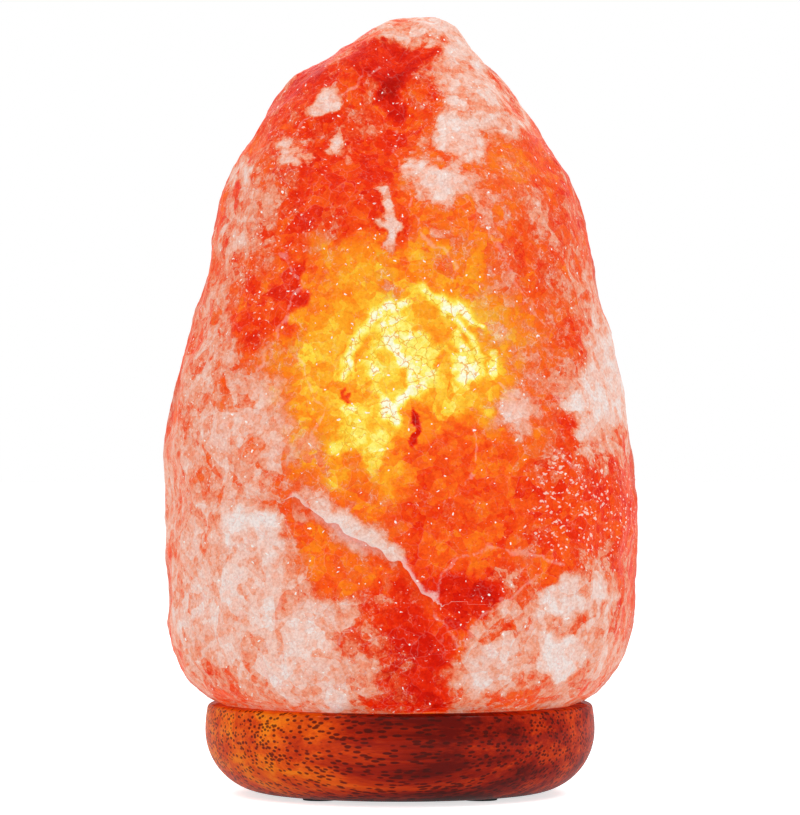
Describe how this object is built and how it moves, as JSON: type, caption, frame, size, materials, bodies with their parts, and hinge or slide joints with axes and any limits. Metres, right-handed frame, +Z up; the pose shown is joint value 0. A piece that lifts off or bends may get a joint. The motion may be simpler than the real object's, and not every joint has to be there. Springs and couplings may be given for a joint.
{
  "type": "salt crystal lamp",
  "caption": "Rough-hewn block of glowing rock salt on a round varnished wooden base, bored from below for a small bulb in a push-in lampholder with sprung legs.",
  "frame": {"origin": "on the surface that the lamp stands on, under the middle of its bounding box and of its base", "axes": "+Z up along the base's and the bore's axis, +X to the right seen from the front, +Y to the back"},
  "size_m": [0.1474, 0.13, 0.2388],
  "materials": {
    "rock_salt": "rough-hewn translucent rock salt, lit from inside",
    "varnished_wood": "turned, stained red-brown and gloss varnished",
    "foot_rubber": "matt",
    "screw_steel": "zinc plated",
    "spring_steel": "bright rolled strip",
    "holder_plastic": "moulded, satin",
    "block_ceramic": "unglazed",
    "contact_brass": "bright stamped brass",
    "terminal_steel": "nickel plated",
    "cap_metal": "drawn and threaded",
    "cap_black_glass": "black glass",
    "solder": "soft solder, dull",
    "bulb_glass": "clear blown glass",
    "stem_glass": "clear pressed glass",
    "lead_wire": "drawn wire",
    "filament": "coiled wire, glowing"
  },
  "bodies": {
    "lamp": {"salt_crystal": "rock_salt", "wood_base": "varnished_wood", "base_screws": "screw_steel", "foot_front_left": "foot_rubber", "foot_front_right": "foot_rubber", "foot_back_left": "foot_rubber", "foot_back_right": "foot_rubber"},
    "lampholder": {"bracket_plate": "spring_steel", "holder_shell": "holder_plastic", "holder_cap": "holder_plastic", "clamp_ring": "holder_plastic", "contact_block": "block_ceramic", "screw_shell": "contact_brass", "contact_rivets": "contact_brass", "terminals": "contact_brass", "terminal_screws": "terminal_steel"},
    "leg_1": {"spring_leg_1": "spring_steel"},
    "leg_2": {"spring_leg_2": "spring_steel"},
    "leg_3": {"spring_leg_3": "spring_steel"},
    "contact": {"centre_contact": "contact_brass"},
    "bulb_tip": {"cap_contact": "solder", "cap_insulator": "cap_black_glass"},
    "bulb": {"bulb_cap": "cap_metal", "bulb_glass": "bulb_glass", "bulb_stem": "stem_glass", "lead_wires": "lead_wire", "filament": "filament", "filament_supports": "lead_wire"}
  },
  "joints": [
    {"name": "holder_pull", "type": "slide", "parent": "lamp", "child": "lampholder", "axis": [0, 0, -1], "range_m": [0, 0.145]},
    {"name": "leg_1_squeeze", "type": "hinge", "parent": "lampholder", "child": "leg_1", "pos_m": [0, 0.01995, 0.0692], "axis": [1, 0, 0], "range_deg": [0, 12], "stiffness_Nm_per_rad": 0.12, "springref_deg": -6.88},
    {"name": "leg_2_squeeze", "type": "hinge", "parent": "lampholder", "child": "leg_2", "pos_m": [-0.01728, -0.00997, 0.0692], "axis": [-0.5, 0.866, 0], "range_deg": [0, 12], "stiffness_Nm_per_rad": 0.12, "springref_deg": -6.88},
    {"name": "leg_3_squeeze", "type": "hinge", "parent": "lampholder", "child": "leg_3", "pos_m": [0.01728, -0.00997, 0.0692], "axis": [-0.5, -0.866, 0], "range_deg": [0, 12], "stiffness_Nm_per_rad": 0.12, "springref_deg": -6.88},
    {"name": "contact_press", "type": "hinge", "parent": "lampholder", "child": "contact", "pos_m": [-0.0032, 0, 0.072], "axis": [0, 1, 0], "range_deg": [0, 9], "stiffness_Nm_per_rad": 0.0019},
    {"name": "bulb_travel", "type": "slide", "parent": "lampholder", "child": "bulb_tip", "axis": [0, 0, 1], "range_m": [0, 0.0142]},
    {"name": "bulb_turn", "type": "hinge", "parent": "bulb_tip", "child": "bulb", "pos_m": [0, 0, 0.0793], "axis": [0, 0, 1], "range_deg": [0, 1800]}
  ],
  "couplings": [
    {"joint": "bulb_travel", "follows": "bulb_turn", "m_per_rad": 0.00044917}
  ]
}
